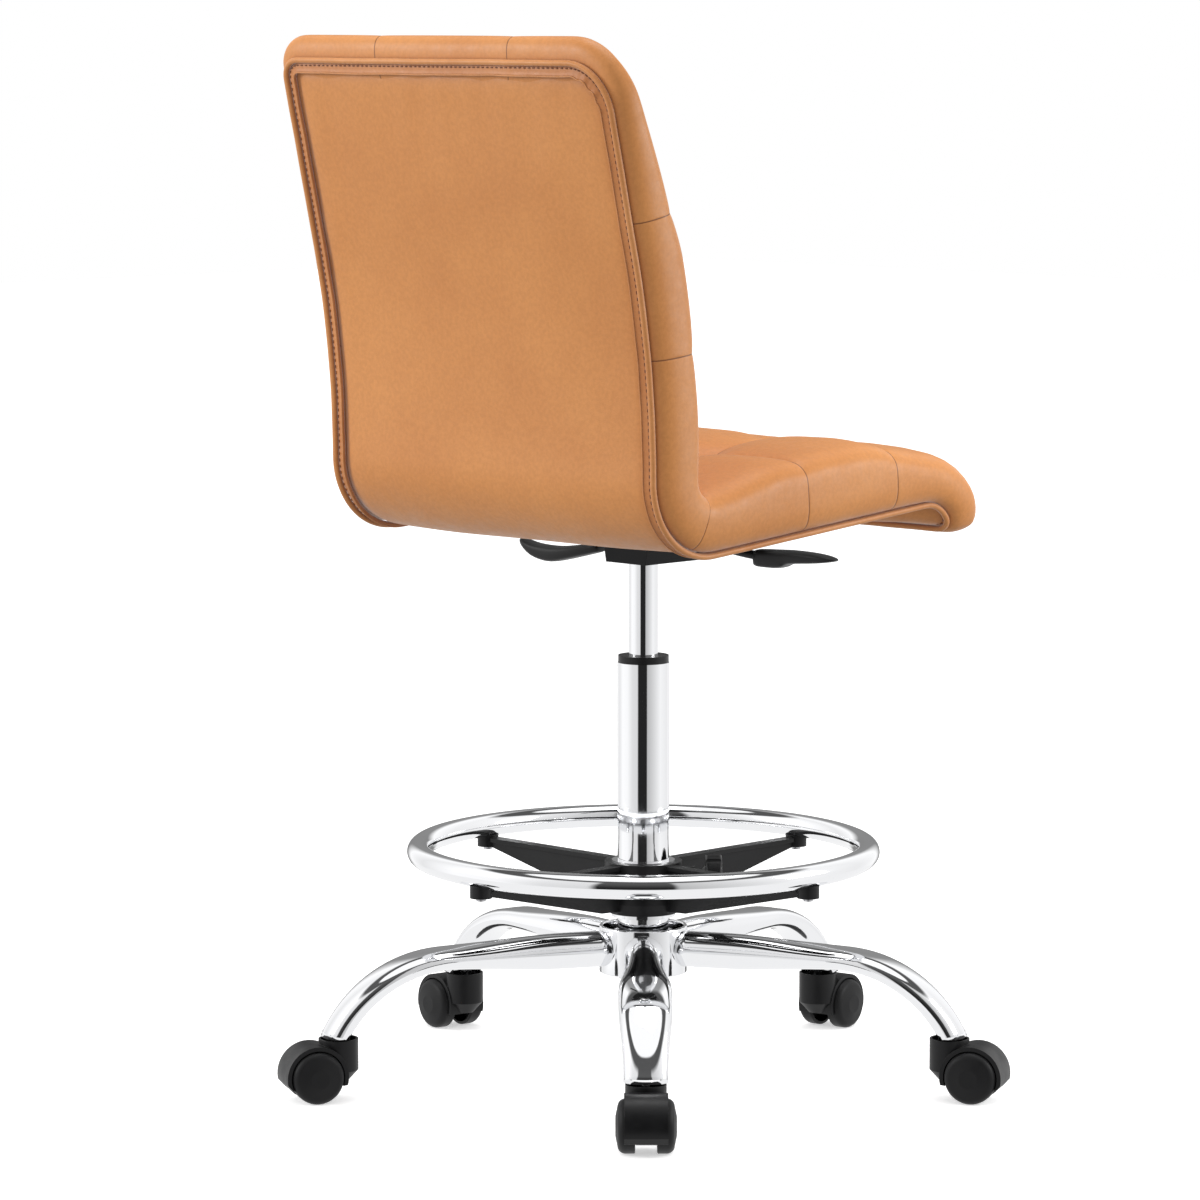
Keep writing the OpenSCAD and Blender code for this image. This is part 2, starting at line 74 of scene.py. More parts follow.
# ---- Base, the same tube as the CAD's ----------------------------------------------------------
LEG_COUNT = 5
FIRST_LEG = math.radians(135)
LEG_Z = 0.1305
LEG_STRAIGHT = 0.195
LEG_ARC_R = 0.128
LEG_ARC = math.radians(65)
LEG_CUT = 0.061
HUB_R = 0.0425
RING_R = 0.217
RING_TUBE_R = 0.0113
RING_Z = 0.225


def smooth(t):
    t = min(1.0, max(0.0, t))
    return t * t * (3 - 2 * t)


# ---- Materials ---------------------------------------------------------------------------------
class Nodes:
    """A material's node tree, with short calls to add and join nodes."""

    def __init__(self, name):
        self.material = bpy.data.materials.new(name)
        self.material.use_nodes = True
        self.tree = self.material.node_tree
        self.shader = self.tree.nodes["Principled BSDF"]
        self.coords = self.add("ShaderNodeTexCoord")

    def add(self, kind, **values):
        node = self.tree.nodes.new(kind)
        for key, value in values.items():
            if key in node.inputs:
                node.inputs[key].default_value = value
            else:
                setattr(node, key, value)
        return node

    def join(self, out, into):
        self.tree.links.new(out, into)

    def set(self, **values):
        for key, value in values.items():
            self.shader.inputs[key.replace("_", " ")].default_value = value

    def noise(self, scale, detail=4.0, roughness=0.55):
        node = self.add("ShaderNodeTexNoise", Scale=scale, Detail=detail, Roughness=roughness)
        self.join(self.coords.outputs["Object"], node.inputs["Vector"])
        return node

    def ramp(self, source, low, high, start=0.35, end=0.65):
        node = self.add("ShaderNodeMapRange")
        node.inputs["From Min"].default_value = start
        node.inputs["From Max"].default_value = end
        node.inputs["To Min"].default_value = low
        node.inputs["To Max"].default_value = high
        self.join(source, node.inputs["Value"])
        return node.outputs["Result"]

    def mix(self, factor, a, b, blend="MIX"):
        node = self.add("ShaderNodeMix", data_type="RGBA", blend_type=blend)
        for socket, value in ((0, factor), (6, a), (7, b)):
            if hasattr(value, "is_output"):
                self.join(value, node.inputs[socket])
            else:
                node.inputs[socket].default_value = value
        return node.outputs[2]

    def bump(self, height, strength, distance, normal=None):
        node = self.add("ShaderNodeBump", Strength=strength, Distance=distance)
        self.join(height, node.inputs["Height"])
        if normal is not None:
            self.join(normal, node.inputs["Normal"])
        return node.outputs["Normal"]


def rgb(r, g, b):
    """Linear colour from 0-255 display values."""
    def channel(v):
        v /= 255
        return v / 12.92 if v <= 0.04045 else ((v + 0.055) / 1.055) ** 2.4
    return (channel(r), channel(g), channel(b), 1.0)


def leather(name, light, dark):
    nodes = Nodes(name)
    tone = nodes.noise(9.0, 5.0)
    cloudy = nodes.mix(nodes.ramp(tone.outputs["Fac"], 0.0, 1.0), dark, light)
    mottle = nodes.noise(260.0, 3.0)
    mottled = nodes.mix(nodes.ramp(mottle.outputs["Fac"], 0.0, 0.12), cloudy, rgb(120, 66, 28))
    seam = nodes.add("ShaderNodeAttribute", attribute_name="seam")
    sewn = nodes.mix(seam.outputs["Fac"], mottled, rgb(86, 44, 20))
    # Painted shade: ambient occlusion darkens the base colour towards deep brown in seams, creases and other
    # crevices.
    crevice_painted_shade = nodes.add("ShaderNodeAmbientOcclusion", Distance=0.012, samples=6)
    painted_shade_share = nodes.ramp(crevice_painted_shade.outputs["AO"], 0.65, 0.0, 0.1, 0.85)
    nodes.join(nodes.mix(painted_shade_share, sewn, rgb(122, 62, 28)), nodes.shader.inputs["Base Color"])
    pores = nodes.add("ShaderNodeTexVoronoi", Scale=750.0, feature="DISTANCE_TO_EDGE")
    nodes.join(nodes.coords.outputs["Object"], pores.inputs["Vector"])
    creases = nodes.noise(85.0, 6.0, 0.65)
    fine = nodes.bump(nodes.ramp(pores.outputs["Distance"], 0.0, 1.0, 0.0, 0.25), 0.16, 0.0003)
    soft = nodes.bump(creases.outputs["Fac"], 0.16, 0.0014, fine)
    nodes.join(soft, nodes.shader.inputs["Normal"])
    nodes.join(nodes.ramp(creases.outputs["Fac"], 0.38, 0.50), nodes.shader.inputs["Roughness"])
    nodes.set(Specular_IOR_Level=0.32, Coat_Weight=0.06, Coat_Roughness=0.34)
    return nodes.material


def chrome():
    nodes = Nodes("chrome_plate")
    nodes.set(Metallic=1.0, Base_Color=(0.86, 0.865, 0.88, 1.0))
    haze = nodes.noise(30.0, 5.0)
    nodes.join(nodes.ramp(haze.outputs["Fac"], 0.035, 0.075), nodes.shader.inputs["Roughness"])
    wave = nodes.noise(14.0, 2.0)
    nodes.join(nodes.bump(wave.outputs["Fac"], 0.04, 0.002), nodes.shader.inputs["Normal"])
    return nodes.material


def moulded(name, base, rough, grain=0.10):
    """Black nylon: fine spark texture, softened edges, slightly uneven gloss."""
    nodes = Nodes(name)
    tone = nodes.noise(40.0, 4.0)
    scuffed = tuple(min(1.0, c * 1.7) for c in base[:3]) + (1.0,)
    worn = nodes.mix(nodes.ramp(tone.outputs["Fac"], 0.0, 0.6), base, scuffed)
    nodes.join(worn, nodes.shader.inputs["Base Color"])
    edge = nodes.add("ShaderNodeBevel", Radius=0.0007, samples=6)
    spark = nodes.noise(1500.0, 2.0)
    sparked = nodes.bump(spark.outputs["Fac"], grain, 0.0003, edge.outputs["Normal"])
    nodes.join(sparked, nodes.shader.inputs["Normal"])
    nodes.join(nodes.ramp(tone.outputs["Fac"], rough - 0.05, rough + 0.07), nodes.shader.inputs["Roughness"])
    nodes.set(Specular_IOR_Level=0.24)
    return nodes.material


def painted(name, base):
    nodes = Nodes(name)
    peel = nodes.noise(420.0, 3.0)
    edge = nodes.add("ShaderNodeBevel", Radius=0.0006, samples=6)
    orange_peel = nodes.bump(peel.outputs["Fac"], 0.10, 0.0004, edge.outputs["Normal"])
    nodes.join(orange_peel, nodes.shader.inputs["Normal"])
    tone = nodes.noise(25.0, 4.0)
    nodes.join(nodes.ramp(tone.outputs["Fac"], 0.30, 0.42), nodes.shader.inputs["Roughness"])
    lighter = tuple(c * 1.5 for c in base[:3]) + (1.0,)
    uneven = nodes.mix(nodes.ramp(tone.outputs["Fac"], 0.0, 0.5), base, lighter)
    nodes.join(uneven, nodes.shader.inputs["Base Color"])
    nodes.set(Specular_IOR_Level=0.16)
    return nodes.material


def metal(name, base, rough):
    nodes = Nodes(name)
    nodes.set(Metallic=1.0)
    brushed = nodes.add("ShaderNodeTexNoise", Scale=180.0, Detail=3.0)
    stretched = nodes.add("ShaderNodeMapping")
    stretched.inputs["Scale"].default_value = (1.0, 1.0, 12.0)
    nodes.join(nodes.coords.outputs["Object"], stretched.inputs["Vector"])
    nodes.join(stretched.outputs["Vector"], brushed.inputs["Vector"])
    gloss = nodes.ramp(brushed.outputs["Fac"], rough - 0.08, rough + 0.08)
    nodes.join(gloss, nodes.shader.inputs["Roughness"])
    darker = tuple(c * 0.8 for c in base[:3]) + (1.0,)
    streaked = nodes.mix(nodes.ramp(brushed.outputs["Fac"], 0.0, 1.0), base, darker)
    nodes.join(streaked, nodes.shader.inputs["Base Color"])
    nodes.join(nodes.bump(brushed.outputs["Fac"], 0.05, 0.0004), nodes.shader.inputs["Normal"])
    return nodes.material


def plywood():
    nodes = Nodes("birch_ply")
    grain = nodes.add("ShaderNodeTexWave", Scale=14.0, Distortion=5.0, Detail=3.0)
    nodes.join(nodes.coords.outputs["Object"], grain.inputs["Vector"])
    striped = nodes.mix(grain.outputs["Fac"], rgb(205, 172, 124), rgb(176, 138, 90))
    nodes.join(striped, nodes.shader.inputs["Base Color"])
    nodes.join(nodes.bump(grain.outputs["Fac"], 0.1, 0.0004), nodes.shader.inputs["Normal"])
    nodes.set(Roughness=0.6)
    return nodes.material


def thread():
    nodes = Nodes("seam_thread")
    twist = nodes.add("ShaderNodeTexWave", Scale=900.0)
    nodes.join(nodes.coords.outputs["Object"], twist.inputs["Vector"])
    plied = nodes.mix(twist.outputs["Fac"], rgb(104, 56, 26), rgb(142, 86, 46))
    nodes.join(plied, nodes.shader.inputs["Base Color"])
    nodes.join(nodes.bump(twist.outputs["Fac"], 0.4, 0.0003), nodes.shader.inputs["Normal"])
    nodes.set(Roughness=0.6)
    return nodes.material


TAN = leather("tan_leatherette", rgb(216, 146, 83), rgb(208, 138, 77))
WELT = leather("tan_welt", rgb(217, 150, 92), rgb(204, 136, 78))
# A darker copy of the same leatherette for the flange: painted shade for the flange lying in shadow beside
# the welt.
FLANGE_TAN_PAINTED_SHADE = leather("tan_flange_painted_shade", rgb(207, 138, 82), rgb(193, 124, 70))
CHROME = chrome()
NYLON = moulded("black_nylon", (0.0065, 0.0065, 0.007, 1.0), 0.38)
WHEEL = moulded("wheel_nylon", (0.0065, 0.0065, 0.007, 1.0), 0.5, 0.14)
BLACK_STEEL = painted("black_paint", (0.0035, 0.0035, 0.004, 1.0))
STEEL = metal("ground_steel", (0.55, 0.55, 0.57, 1.0), 0.32)
BRASS = metal("brass", (0.72, 0.53, 0.24, 1.0), 0.3)
RUBBER = moulded("rubber", (0.014, 0.014, 0.014, 1.0), 0.7)
PLY = plywood()
THREAD = thread()


# ---- Mesh helpers ------------------------------------------------------------------------------
def mesh_piece(name, points, faces, material, levels=0):
    mesh = bpy.data.meshes.new(name)
    mesh.from_pydata([tuple(p) for p in points], [], faces)
    mesh.update()
    mesh.polygons.foreach_set("use_smooth", [True] * len(mesh.polygons))
    piece = bpy.data.objects.new(name, mesh)
    bpy.context.scene.collection.objects.link(piece)
    mesh.materials.append(material)
    if levels:
        divide = piece.modifiers.new("subdivision", "SUBSURF")
        divide.levels = levels
        divide.render_levels = levels
    return piece


def tube_faces(rings, sides, loop=False):
    """Quads between consecutive rings of equal count, with end caps unless it closes on itself."""
    faces = []
    for j in range(rings if loop else rings - 1):
        k = (j + 1) % rings
        for i in range(sides):
            n = (i + 1) % sides
            faces.append((j * sides + i, j * sides + n, k * sides + n, k * sides + i))
    if not loop:
        faces.append(tuple(reversed(range(sides))))
        faces.append(tuple(range((rings - 1) * sides, rings * sides)))
    return faces


def tube_piece(name, rings, material, loop=False, levels=0):
    points = [p for ring in rings for p in ring]
    return mesh_piece(name, points, tube_faces(len(rings), len(rings[0]), loop), material, levels)


def lathe(name, profile, material, steps=128, centre=(0.0, 0.0)):
    """A closed (radius, height) outline turned about a vertical axis."""
    rings = []
    for i in range(steps):
        a = 2 * math.pi * i / steps
        rings.append([(centre[0] + r * math.cos(a), centre[1] + r * math.sin(a), z) for r, z in profile])
    return tube_piece(name, rings, material, loop=True)


def rounded(corners, radius, steps=4):
    """A closed outline with each corner replaced by a small curve."""
    out = []
    for i, corner in enumerate(corners):
        p = Vector(corner)
        a = Vector(corners[i - 1]) - p
        b = Vector(corners[(i + 1) % len(corners)]) - p
        r = min(radius, a.length * 0.45, b.length * 0.45)
        start = p + a.normalized() * r
        end = p + b.normalized() * r
        for k in range(steps + 1):
            t = k / steps
            out.append(tuple(start * (1 - t) ** 2 + p * 2 * t * (1 - t) + end * t * t))
    return out


# ---- Profile of the seat and back --------------------------------------------------------------
def seat_start(depth, run):
    r = BEND_R - depth
    return (BEND_Y - r * math.sin(RISE) - run * math.cos(RISE),
            BEND_Z - r * math.cos(RISE) + run * math.sin(RISE))


CURL_LENGTH = CURL_R * CURL
BEND_LENGTH = BEND_R * (math.pi / 2 + RISE)
ARC_LENGTH = BACK_ARC_R * LEAN
PANEL_LENGTH = CURL_LENGTH + SEAT_RUN + BEND_LENGTH + ARC_LENGTH + BACK_RUN


def profile(s):
    """Outer line at the distance s from the end of the curl: (y, z, and the inward direction)."""
    if s < CURL_LENGTH:
        cy, cz = seat_start(-CURL_R, SEAT_RUN)
        a = math.pi / 2 - RISE + min(CURL, (CURL_LENGTH - s) / CURL_R)
        over = max(0.0, -s)
        ny, nz = math.cos(a), math.sin(a)
        return cy + CURL_R * ny - over * nz, cz + CURL_R * nz + over * ny, ny, nz
    s -= CURL_LENGTH
    if s < SEAT_RUN:
        y, z = seat_start(0, SEAT_RUN - s)
        return y, z, math.sin(RISE), math.cos(RISE)
    s -= SEAT_RUN
    if s < BEND_LENGTH:
        a = 1.5 * math.pi - RISE + s / BEND_R
        return BEND_Y + BEND_R * math.cos(a), BEND_Z + BEND_R * math.sin(a), -math.cos(a), -math.sin(a)
    s -= BEND_LENGTH
    a = math.pi - min(LEAN, s / BACK_ARC_R)
    over = max(0.0, s - ARC_LENGTH)
    y = BACK_Y + BACK_ARC_R * (1 + math.cos(a)) + over * math.sin(LEAN)
    z = BEND_Z + BACK_ARC_R * math.sin(a) + over * math.cos(LEAN)
    return y, z, math.cos(a), math.sin(a)


def place(x, s, depth):
    y, z, ny, nz = profile(s)
    return Vector((x, y + ny * depth, z + nz * depth))


# Corner radii of the piped outline: (sitter's left, sitter's right) at the top, then the front
TOP_LEFT_R = 0.018
TOP_RIGHT_R = 0.046
FRONT_R = 0.014


def corner_radius(x, s):
    if s < PANEL_LENGTH / 2:
        return FRONT_R
    return TOP_LEFT_R if x > 0 else TOP_RIGHT_R


def round_corner(x, s, half, low, high, grow=0.0):
    """Moves a point of the rectangle into the rounded outline; also gives its outward direction
    and its distance from the outline."""
    r = corner_radius(x, s) + grow
    side = math.copysign(1.0, x)
    end = 1.0 if s > PANEL_LENGTH / 2 else -1.0
    limit = high if end > 0 else low
    a = (abs(x) - (half - r)) / r
    b = (end * (s - limit) + r) / r
    if a > 0 and b > 0:
        a, b = min(a, 1.0), min(b, 1.0)
        ra, rb = a * math.sqrt(1 - b * b / 2), b * math.sqrt(1 - a * a / 2)
        rho = math.hypot(ra, rb)
        x = side * (half - r + ra * r)
        s = limit - end * r + end * rb * r
        return x, s, side * ra / max(rho, 1e-6), end * rb / max(rho, 1e-6), r * (1 - rho)
    if half - abs(x) < end * (limit - s):
        return x, s, side, 0.0, half - abs(x)
    return x, s, 0.0, end, end * (limit - s)


def lines(low, high, step, fine, finer):
    """Grid positions: evenly filled, with closer lines at both edges and at the seams."""
    marks = {low, high}
    for e in finer:
        marks.update((low + e, high - e))
    for f in fine:
        for d in (0.0, 0.0008, 0.0026, 0.0065, 0.012):
            marks.update((f - d, f + d))
    marks = sorted(marks)
    out = [marks[0]]
    for m in marks[1:]:
        count = max(1, math.ceil((m - out[-1]) / step))
        base = out[-1]
        out += [base + (m - base) * (i + 1) / count for i in range(count)]
    return out


# ---- The upholstered pad -----------------------------------------------------------------------
EDGE_ROUND = 0.024
EDGE_DROP = 0.020
CELL_CROWN = 0.0070
GROOVE = 0.0017
GROOVE_WIDTH = 0.0025
TUFT = 0.011
TUFT_WIDTH = 0.017
FRONT_FALL = 0.0130
FRONT_FALL_RUN = 0.165
SEAT_FULLNESS = 0.0125
TOP_THINNING = 0.034
TOP_THINNING_RUN = 0.19
WRINKLE = 0.0009
SEAM_PULL = 0.0009
SEAM_MARK = 0.0004
PAD_STEP = 0.0125               # coarse grid step, finer next to the seams and at these distances
PAD_EDGE_STEPS = (0.0012, 0.004, 0.0085, 0.015, 0.024)
PAD_CORNER_GROW = 0.014
# The border between face and piping: depth, and how much of the bulge is left there
BORDER_HEIGHT = 0.036
BORDER_ROWS = ((0.029, 0.995), (0.021, 0.95), (0.014, 0.84), (0.0085, 0.66), (0.0050, 0.42),
               (0.0030, 0.16), (0.0022, -0.2), (0.0035, -1.2))
UNDERSIDE_DEPTH = 0.004


def bulge_at(nx, ns):
    along = TOP_BULGE if ns > 0 else FRONT_BULGE
    return SIDE_BULGE * nx * nx + along * ns * ns


def cell(value, cuts):
    """Position between the two nearest cuts, 0 at a cut and 1 half way."""
    low = max((c for c in cuts if c <= value), default=cuts[0])
    high = min((c for c in cuts if c > value), default=cuts[-1])
    if high <= low:
        return 0.0
    return 1 - abs(2 * (value - low) / (high - low) - 1)


def pad_depth(x, s, edge):
    """Depth of the pad's face: crowned cells between sewn channels, with pulled-in tufts."""
    rows = [-0.04] + list(ROW_SEAMS) + [PANEL_LENGTH + 0.06]
    cols = [-PIPE_X - 0.06, -COLUMN_SEAM_X, COLUMN_SEAM_X, PIPE_X + 0.06]
    inside = 1 - smooth((s - 0.33) / 0.05) * (1 - smooth((s - 0.46) / 0.05))
    near_top = min(1.0, max(0.0, 1 - (PANEL_LENGTH - s) / TOP_THINNING_RUN)) ** 1.2
    along, across = cell(s, rows), cell(x, cols)
    near_side = 0.3 + 0.7 * smooth(edge / 0.06)
    crown = CELL_CROWN * (1 - (1 - along) ** 4) * (1 - (1 - across) ** 4)
    crown = crown * (0.25 + 0.75 * inside) * near_side
    row_gap = min(abs(s - r) for r in ROW_SEAMS)
    col_gap = min(abs(x - COLUMN_SEAM_X), abs(x + COLUMN_SEAM_X))
    fade = smooth(edge / 0.03)
    groove = GROOVE * math.exp(-row_gap / GROOVE_WIDTH) * (0.35 + 0.65 * fade)
    groove += GROOVE * math.exp(-col_gap / GROOVE_WIDTH) * (0.35 + 0.65 * fade)
    tuft = TUFT * math.exp(-(row_gap ** 2 + col_gap ** 2) / (2 * TUFT_WIDTH ** 2)) * (0.3 + 0.7 * inside)
    front_fall = FRONT_FALL * smooth((FRONT_FALL_RUN - s) / FRONT_FALL_RUN)
    top_fall = TOP_THINNING * near_top
    seat_full = SEAT_FULLNESS * smooth((0.34 - s) / 0.10) * smooth((s - 0.03) / 0.10)
    round_off = 1 - min(1.0, edge / EDGE_ROUND)
    drop = EDGE_DROP * (1 - math.sqrt(max(0.0, 1 - round_off * round_off))) * (1 - 0.6 * near_top)
    wrinkle = WRINKLE * noise.noise(Vector((x * 22, s * 14, 3.1))) * fade
    return PAD_T - 0.002 + crown + seat_full - groove - tuft - drop - front_fall - top_fall + wrinkle


def seam_mark(x, s):
    """Whether a point is on a cross seam, and whether it is on a lengthwise one."""
    on_row = 1.0 if min(abs(s - r) for r in ROW_SEAMS) < SEAM_MARK else 0.0
    on_col = 1.0 if min(abs(x - COLUMN_SEAM_X), abs(x + COLUMN_SEAM_X)) < SEAM_MARK else 0.0
    return on_row, on_col


def make_pad():
    half = PIPE_X + SIDE_BULGE
    top = PANEL_LENGTH + TOP_BULGE
    xs = lines(-PIPE_X - SIDE_BULGE, half, PAD_STEP, (-COLUMN_SEAM_X, COLUMN_SEAM_X), PAD_EDGE_STEPS)
    ss = lines(-FRONT_BULGE, top, PAD_STEP, ROW_SEAMS, PAD_EDGE_STEPS)
    points, marks, faces = [], [], []
    columns, rows = len(xs), len(ss)
    rim = {}
    for j, s0 in enumerate(ss):
        for i, x0 in enumerate(xs):
            x, s, nx, ns, edge = round_corner(x0, s0, half, -FRONT_BULGE, top, PAD_CORNER_GROW)
            on_row, on_col = seam_mark(x0, s0)
            points.append(place(x, s, pad_depth(x, s, edge)))
            marks.append(max(on_row, on_col))
            if i in (0, columns - 1) or j in (0, rows - 1):
                rim[(i, j)] = (x, s, nx, ns, on_row if abs(nx) > abs(ns) else on_col)
    for j in range(rows - 1):
        for i in range(columns - 1):
            a = j * columns + i
            faces.append((a, a + 1, a + columns + 1, a + columns))
    around = [(i, 0) for i in range(columns)] + [(columns - 1, j) for j in range(1, rows)]
    around += [(i, rows - 1) for i in range(columns - 2, -1, -1)] + [(0, j) for j in range(rows - 2, 0, -1)]
    last = [j * columns + i for i, j in around]
    for depth, share in BORDER_ROWS:
        ring = []
        for key in around:
            x, s, nx, ns, marked = rim[key]
            face = pad_depth(x, s, 0.0)
            out = bulge_at(nx, ns)
            pull = SEAM_PULL * marked if share > 0 else 0.0
            back = out * (1 - share) if share >= 0 else out - 0.004 * share
            ring.append(len(points))
            squeezed = min(depth, depth * face / BORDER_HEIGHT)
            points.append(place(x - nx * (back + pull), s - ns * (back + pull), squeezed))
            marks.append(marked)
        count = len(ring)
        for k in range(count):
            n = (k + 1) % count
            faces.append((last[n], last[k], ring[k], ring[n]))
        last = ring
    # The underside, hidden behind the outer panel
    centre = []
    for key in around:
        x, s = rim[key][:2]
        centre.append(len(points))
        points.append(place(x * 0.5, PANEL_LENGTH * 0.5 + (s - PANEL_LENGTH * 0.5) * 0.5, UNDERSIDE_DEPTH))
        marks.append(0.0)
    count = len(around)
    for k in range(count):
        n = (k + 1) % count
        faces.append((last[n], last[k], centre[k], centre[n]))
    piece = mesh_piece("seat_and_back_pad", points, faces, TAN, levels=1)
    attribute = piece.data.attributes.new("seam", "FLOAT", "POINT")
    attribute.data.foreach_set("value", marks)
    piece.visible_glossy = False
    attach(piece, "seat")
    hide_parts("cushion")
    return piece


# ---- Outer panel of the back and underside -----------------------------------------------------
PANEL_INSET = 0.0085
PANEL_STEP = 0.010
PANEL_EDGE_STEPS = (0.003, 0.008)
PANEL_INNER_DEPTH = 0.0038


def panel_depth(x, s, edge):
    """Almost flat leatherette: tucked at the edge, a little full, puckered under the top seam."""
    tuck = 0.0032 * (1 - smooth(edge / 0.012))
    full = -0.0022 * smooth(edge / 0.12)
    below_top = (PANEL_LENGTH - s) / 0.10
    pucker = 0.0011 * noise.noise(Vector((x * 42, s * 5, 0.7))) * math.exp(-below_top * below_top)
    beside = 0.0007 * noise.noise(Vector((x * 8, s * 30, 4.2))) * math.exp(-edge / 0.03)
    broad = 0.0012 * noise.noise(Vector((x * 5, s * 4.5, 9.0))) * smooth(edge / 0.05)
    return 0.0002 + tuck + full + pucker + beside + broad


def make_panel():
    half = PIPE_X - PANEL_INSET
    low, high = PANEL_INSET, PANEL_LENGTH - PANEL_INSET
    xs = lines(-half, half, PANEL_STEP, (), PANEL_EDGE_STEPS)
    ss = lines(low, high, PANEL_STEP, (), PANEL_EDGE_STEPS)
    columns = len(xs)
    outer, inner = [], []
    for s0 in ss:
        for x0 in xs:
            x, s, _, _, edge = round_corner(x0, s0, half, low, high, -PANEL_INSET)
            outer.append(place(x, s, panel_depth(x, s, edge)))
            inner.append(place(x, s, PANEL_INNER_DEPTH))
    faces = []
    back = len(outer)
    for j in range(len(ss) - 1):
        for i in range(columns - 1):
            a = j * columns + i
            faces.append((a, a + columns, a + columns + 1, a + 1))
            faces.append((back + a, back + a + 1, back + a + columns + 1, back + a + columns))
    rows = len(ss)
    around = [i for i in range(columns)] + [j * columns + columns - 1 for j in range(1, rows)]
    around += [(rows - 1) * columns + i for i in range(columns - 2, -1, -1)]
    around += [j * columns for j in range(rows - 2, 0, -1)]
    for k, a in enumerate(around):
        n = around[(k + 1) % len(around)]
        faces.append((a, n, back + n, back + a))
    piece = mesh_piece("outer_panel", outer + inner, faces, TAN, levels=1)
    piece.data.attributes.new("seam", "FLOAT", "POINT")
    piece.visible_glossy = False
    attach(piece, "seat")
    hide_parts("back_panel")
    return piece


# ---- Welt, stitched flange and stitches round the panel ----------------------------------------
def outline(spacing=0.006):
    """Closed walk round the piped outline: (x, s, outward x, outward s)."""
    walk = []

    def straight(a, b, nx, ns):
        length = math.hypot(b[0] - a[0], b[1] - a[1])
        count = max(1, round(length / spacing))
        for i in range(count):
            t = i / count
            walk.append((a[0] + (b[0] - a[0]) * t, a[1] + (b[1] - a[1]) * t, nx, ns))

    def turn(cx, cs, r, start):
        count = max(5, round(r * math.pi / 2 / spacing * 1.5))
        for i in range(count):
            a = start + math.pi / 2 * i / count
            walk.append((cx + r * math.cos(a), cs + r * math.sin(a), math.cos(a), math.sin(a)))

    w, high = PIPE_X, PANEL_LENGTH
    straight((w, FRONT_R), (w, high - TOP_LEFT_R), 1, 0)
    turn(w - TOP_LEFT_R, high - TOP_LEFT_R, TOP_LEFT_R, 0)
    straight((w - TOP_LEFT_R, high), (-w + TOP_RIGHT_R, high), 0, 1)
    turn(-w + TOP_RIGHT_R, high - TOP_RIGHT_R, TOP_RIGHT_R, math.pi / 2)
    straight((-w, high - TOP_RIGHT_R), (-w, FRONT_R), -1, 0)
    turn(-w + FRONT_R, FRONT_R, FRONT_R, math.pi)
    straight((-w + FRONT_R, 0.0), (w - FRONT_R, 0.0), 0, -1)
    turn(w - FRONT_R, FRONT_R, FRONT_R, 1.5 * math.pi)
    return walk


WOBBLE = 0.0009
WELT_WOBBLE = 0.0004
GATHER = 0.0016                 # pleats of the flange round the sitter's right top corner
GATHERS = 14
GATHERED_FROM = -0.006
WELT_R = 0.0030
WELT_OUT = 0.0002
WELT_DEPTH = -0.0016
FLANGE = ((-0.0022, 0.0020), (-0.0028, -0.0004), (-0.0048, -0.0012), (-0.0088, -0.0016), (-0.0104, -0.0026),
          (-0.0118, -0.0026), (-0.0122, -0.0012), (-0.0116, 0.0012), (-0.0080, 0.0022))
RAW_OUT = -0.0116
RAW_DEPTH = -0.0030
RAW_R = 0.0008
STITCH_OUT = -0.0046
STITCH_DEPTH = -0.0014
STITCH_LENGTH = 0.0030
STITCH_PITCH = 0.0048
STITCH_R = 0.00065
STITCH_SIDES = 6
STITCH_ENDS = ((-0.5, 0.3), (-0.35, 1.0), (0.35, 1.0), (0.5, 0.3))   # place along it, share of its radius


def edge_strip(name, section, material, wobble):
    """Sweeps a closed section of (outward, depth) points round the outline."""
    rings = []
    for x, s, nx, ns in outline():
        shift = wobble * noise.noise(Vector((x * 30, s * 30, 1.3)))
        corner = min(1.0, 2 * abs(nx * ns)) if ns > 0 and x < 0 else 0.0
        pleat = GATHER * corner * math.sin(GATHERS * math.atan2(ns, -nx))
        ring = []
        for out, depth in section:
            gather = pleat if out < GATHERED_FROM else 0.0
            moved = out + shift + gather
            ring.append(place(x + nx * moved, s + ns * moved, depth - abs(gather)))
        rings.append(ring)
    piece = tube_piece(name, rings, material, loop=True, levels=1)
    piece.data.attributes.new("seam", "FLOAT", "POINT")
    piece.visible_glossy = False
    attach(piece, "seat")
    return piece


def circle(out, depth, radius, sides):
    return [(out + radius * math.cos(a), depth + radius * math.sin(a))
            for a in (2 * math.pi * i / sides for i in range(sides))]


def make_edges():
    welt = edge_strip("welt", circle(WELT_OUT, WELT_DEPTH, WELT_R, 12), WELT, WELT_WOBBLE)
    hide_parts("piping")
    # The flange takes the darker copy of the leatherette, painted shade.
    edge_strip("stitched_flange", FLANGE, FLANGE_TAN_PAINTED_SHADE, WOBBLE)
    edge_strip("flange_raw_edge", circle(RAW_OUT, RAW_DEPTH, RAW_R, 8), WELT, WOBBLE)
    walk = outline(0.002)
    points = [place(x + nx * STITCH_OUT, s + ns * STITCH_OUT, STITCH_DEPTH) for x, s, nx, ns in walk]
    rings, faces, travelled = [], [], 0.0
    for i, here in enumerate(points):
        after = points[(i + 1) % len(points)]
        travelled += (after - here).length
        if travelled < STITCH_PITCH:
            continue
        travelled = 0.0
        run = (after - here).normalized()
        side = run.cross(Vector((1, 0, 0)) if abs(run.x) < 0.9 else Vector((0, 0, 1))).normalized()
        up = run.cross(side)
        base = len(rings)
        for along, share in STITCH_ENDS:
            for k in range(STITCH_SIDES):
                a = k * math.pi / 3
                rings.append(here + run * along * STITCH_LENGTH
                             + (side * math.cos(a) + up * math.sin(a)) * share * STITCH_R)
        faces += [tuple(base + v for v in f) for f in tube_faces(len(STITCH_ENDS), STITCH_SIDES)]
    stitches = mesh_piece("edge_stitches", rings, faces, THREAD)
    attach(stitches, "seat")


